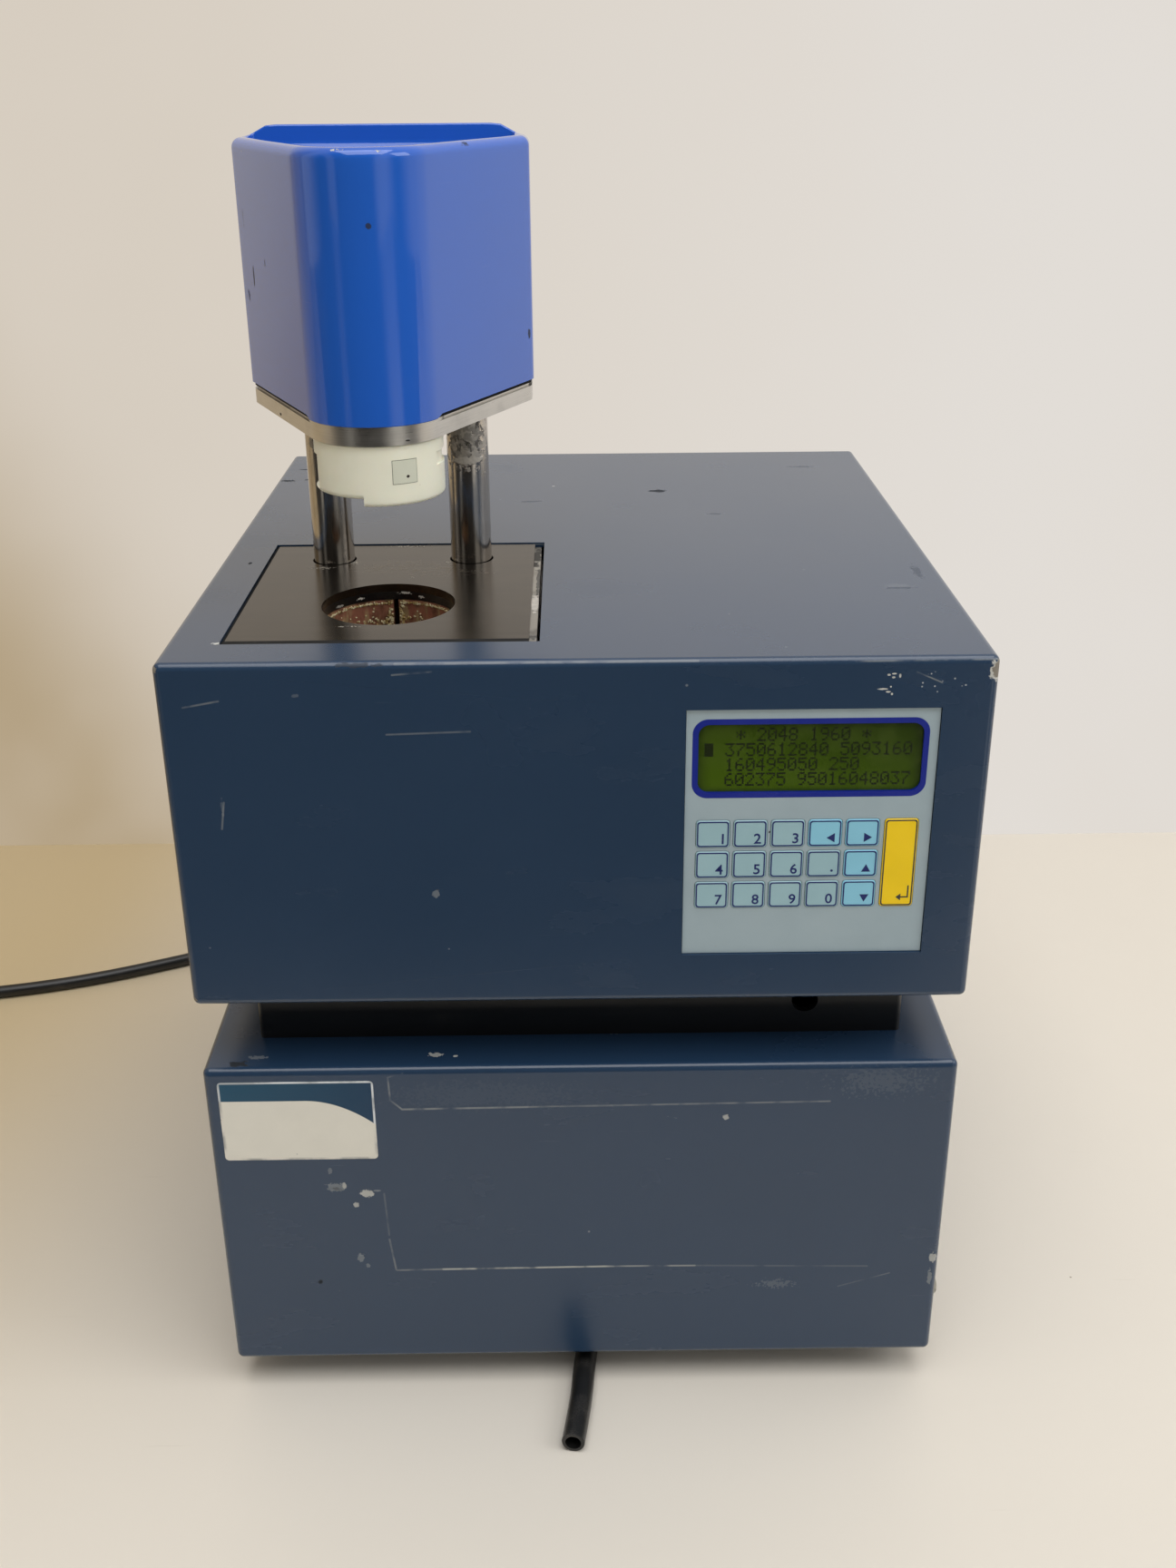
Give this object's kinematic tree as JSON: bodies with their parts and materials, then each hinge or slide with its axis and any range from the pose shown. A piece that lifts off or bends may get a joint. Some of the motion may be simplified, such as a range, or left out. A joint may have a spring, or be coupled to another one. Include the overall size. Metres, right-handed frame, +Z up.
{
  "type": "rapid visco analyzer",
  "caption": "Bench-top viscosity analyser: a spring-returned drive head on guide rods over a split heating block, on stacked sheet-metal casings with a keypad and display.",
  "frame": {"origin": "on the table, under the middle of the instrument without its cords", "axes": "+X to the right seen from the front, +Y to the back, +Z up; the front with the keypad faces -Y"},
  "size_m": [0.5979, 0.4529, 0.4721],
  "materials": {
    "case_paint": "slate-blue semi-gloss paint, slightly textured",
    "neck_paint": "matt black paint",
    "zinc_sheet": "zinc-plated sheet",
    "foot_rubber": "black rubber",
    "screw_steel": "zinc-plated",
    "deck_metal": "dark brown-grey anodised, satin",
    "rail_metal": "machined",
    "collar_plastic": "black insulating plastic",
    "column_metal": "machined casting",
    "bush_bronze": "sintered bronze",
    "rod_steel": "ground and hard-chromed",
    "spring_steel": "spring wire",
    "copper": "machined copper, tarnished",
    "heater_steel": "ground",
    "base_plastic": "heat-resisting plastic",
    "head_metal": "machined bright",
    "cover_paint": "blue gloss paint",
    "nose_plastic": "cream moulding",
    "motor_steel": "plated",
    "bearing_steel": "polished",
    "spindle_steel": "turned",
    "overlay_film": "grey polyester film",
    "key_blue": "pale blue embossed film",
    "key_yellow": "yellow embossed film",
    "board_green": "circuit board",
    "display_glass": "green character display",
    "core_steel": "laminated core",
    "inlet_plastic": "black moulding",
    "rocker_plastic": "black moulding",
    "spigot_brass": "turned brass",
    "port_metal": "nickel-plated shell",
    "hose_plastic": "black rubber hose",
    "cord_rubber": "black mains lead"
  },
  "bodies": {
    "chassis": {"upper_casing": "case_paint", "lower_casing": "case_paint", "upper_rear_panel": "case_paint", "lower_rear_panel": "case_paint", "upper_base_pan": "zinc_sheet", "neck_frame": "neck_paint", "base_plate": "zinc_sheet", "rubber_feet": "foot_rubber", "casing_screws": "screw_steel", "deck_plate": "deck_metal", "deck_frame": "rail_metal", "well_collar": "collar_plastic", "guide_column": "column_metal", "guide_bushes": "bush_bronze", "block_base": "base_plastic", "return_spring": "spring_steel", "panel_overlay": "overlay_film", "keypad_board": "board_green", "display_module": "display_glass", "controller_board": "board_green", "power_transformer": "core_steel", "power_inlet": "inlet_plastic", "serial_port": "port_metal", "water_spigots": "spigot_brass", "drain_elbow": "spigot_brass", "drain_hose": "hose_plastic", "mains_connector": "cord_rubber", "mains_lead": "cord_rubber", "mains_coil": "cord_rubber", "mains_plug": "cord_rubber"},
    "left_jaw": {"block_left": "copper", "heaters_left": "heater_steel"},
    "right_jaw": {"block_right": "copper", "heaters_right": "heater_steel"},
    "head": {"head_plate": "head_metal", "head_cover": "cover_paint", "nose_ring": "nose_plastic", "guide_rods": "rod_steel", "rod_yoke": "column_metal", "motor_housing": "motor_steel", "spindle_bearing": "bearing_steel"},
    "spindle": {"drive_spindle": "spindle_steel"},
    "power_rocker": {"power_switch": "rocker_plastic"},
    "1_button": {"key_1": "key_blue"},
    "2_button": {"key_2": "key_blue"},
    "3_button": {"key_3": "key_blue"},
    "4_button": {"key_4": "key_blue"},
    "5_button": {"key_5": "key_blue"},
    "6_button": {"key_6": "key_blue"},
    "7_button": {"key_7": "key_blue"},
    "8_button": {"key_8": "key_blue"},
    "9_button": {"key_9": "key_blue"},
    "0_button": {"key_0": "key_blue"},
    "dot_button": {"key_dot": "key_blue"},
    "left_button": {"key_left": "key_blue"},
    "right_button": {"key_right": "key_blue"},
    "up_button": {"key_up": "key_blue"},
    "down_button": {"key_down": "key_blue"},
    "enter_button": {"key_enter": "key_yellow"}
  },
  "joints": [
    {"name": "head_slide", "type": "slide", "parent": "chassis", "child": "head", "axis": [0, 0, -1], "range_m": [0, 0.06], "stiffness_N_per_m": 400, "springref_m": -0.08, "deforming": ["return_spring"]},
    {"name": "left_jaw_close", "type": "slide", "parent": "chassis", "child": "left_jaw", "axis": [1, 0, 0], "range_m": [0, 0.0006]},
    {"name": "right_jaw_close", "type": "slide", "parent": "chassis", "child": "right_jaw", "axis": [-1, 0, 0], "range_m": [0, 0.0006]},
    {"name": "spindle_spin", "type": "hinge", "parent": "head", "child": "spindle", "pos_m": [-0.0683, -0.0985, 0.37], "axis": [0, 0, 1], "continuous": true},
    {"name": "power_rock", "type": "hinge", "parent": "chassis", "child": "power_rocker", "pos_m": [-0.03, 0.1405, 0.072], "axis": [1, 0, 0], "range_deg": [0, 18]},
    {"name": "key_1_press", "type": "slide", "parent": "chassis", "child": "1_button", "axis": [0, 1, 0], "range_m": [0, 0.0004], "stiffness_N_per_m": 300},
    {"name": "key_2_press", "type": "slide", "parent": "chassis", "child": "2_button", "axis": [0, 1, 0], "range_m": [0, 0.0004], "stiffness_N_per_m": 300},
    {"name": "key_3_press", "type": "slide", "parent": "chassis", "child": "3_button", "axis": [0, 1, 0], "range_m": [0, 0.0004], "stiffness_N_per_m": 300},
    {"name": "key_4_press", "type": "slide", "parent": "chassis", "child": "4_button", "axis": [0, 1, 0], "range_m": [0, 0.0004], "stiffness_N_per_m": 300},
    {"name": "key_5_press", "type": "slide", "parent": "chassis", "child": "5_button", "axis": [0, 1, 0], "range_m": [0, 0.0004], "stiffness_N_per_m": 300},
    {"name": "key_6_press", "type": "slide", "parent": "chassis", "child": "6_button", "axis": [0, 1, 0], "range_m": [0, 0.0004], "stiffness_N_per_m": 300},
    {"name": "key_7_press", "type": "slide", "parent": "chassis", "child": "7_button", "axis": [0, 1, 0], "range_m": [0, 0.0004], "stiffness_N_per_m": 300},
    {"name": "key_8_press", "type": "slide", "parent": "chassis", "child": "8_button", "axis": [0, 1, 0], "range_m": [0, 0.0004], "stiffness_N_per_m": 300},
    {"name": "key_9_press", "type": "slide", "parent": "chassis", "child": "9_button", "axis": [0, 1, 0], "range_m": [0, 0.0004], "stiffness_N_per_m": 300},
    {"name": "key_0_press", "type": "slide", "parent": "chassis", "child": "0_button", "axis": [0, 1, 0], "range_m": [0, 0.0004], "stiffness_N_per_m": 300},
    {"name": "key_dot_press", "type": "slide", "parent": "chassis", "child": "dot_button", "axis": [0, 1, 0], "range_m": [0, 0.0004], "stiffness_N_per_m": 300},
    {"name": "key_left_press", "type": "slide", "parent": "chassis", "child": "left_button", "axis": [0, 1, 0], "range_m": [0, 0.0004], "stiffness_N_per_m": 300},
    {"name": "key_right_press", "type": "slide", "parent": "chassis", "child": "right_button", "axis": [0, 1, 0], "range_m": [0, 0.0004], "stiffness_N_per_m": 300},
    {"name": "key_up_press", "type": "slide", "parent": "chassis", "child": "up_button", "axis": [0, 1, 0], "range_m": [0, 0.0004], "stiffness_N_per_m": 300},
    {"name": "key_down_press", "type": "slide", "parent": "chassis", "child": "down_button", "axis": [0, 1, 0], "range_m": [0, 0.0004], "stiffness_N_per_m": 300},
    {"name": "key_enter_press", "type": "slide", "parent": "chassis", "child": "enter_button", "axis": [0, 1, 0], "range_m": [0, 0.0004], "stiffness_N_per_m": 300}
  ],
  "couplings": [
    {"joint": "left_jaw_close", "follows": "head_slide", "ratio": 0.01},
    {"joint": "right_jaw_close", "follows": "head_slide", "ratio": 0.01}
  ]
}
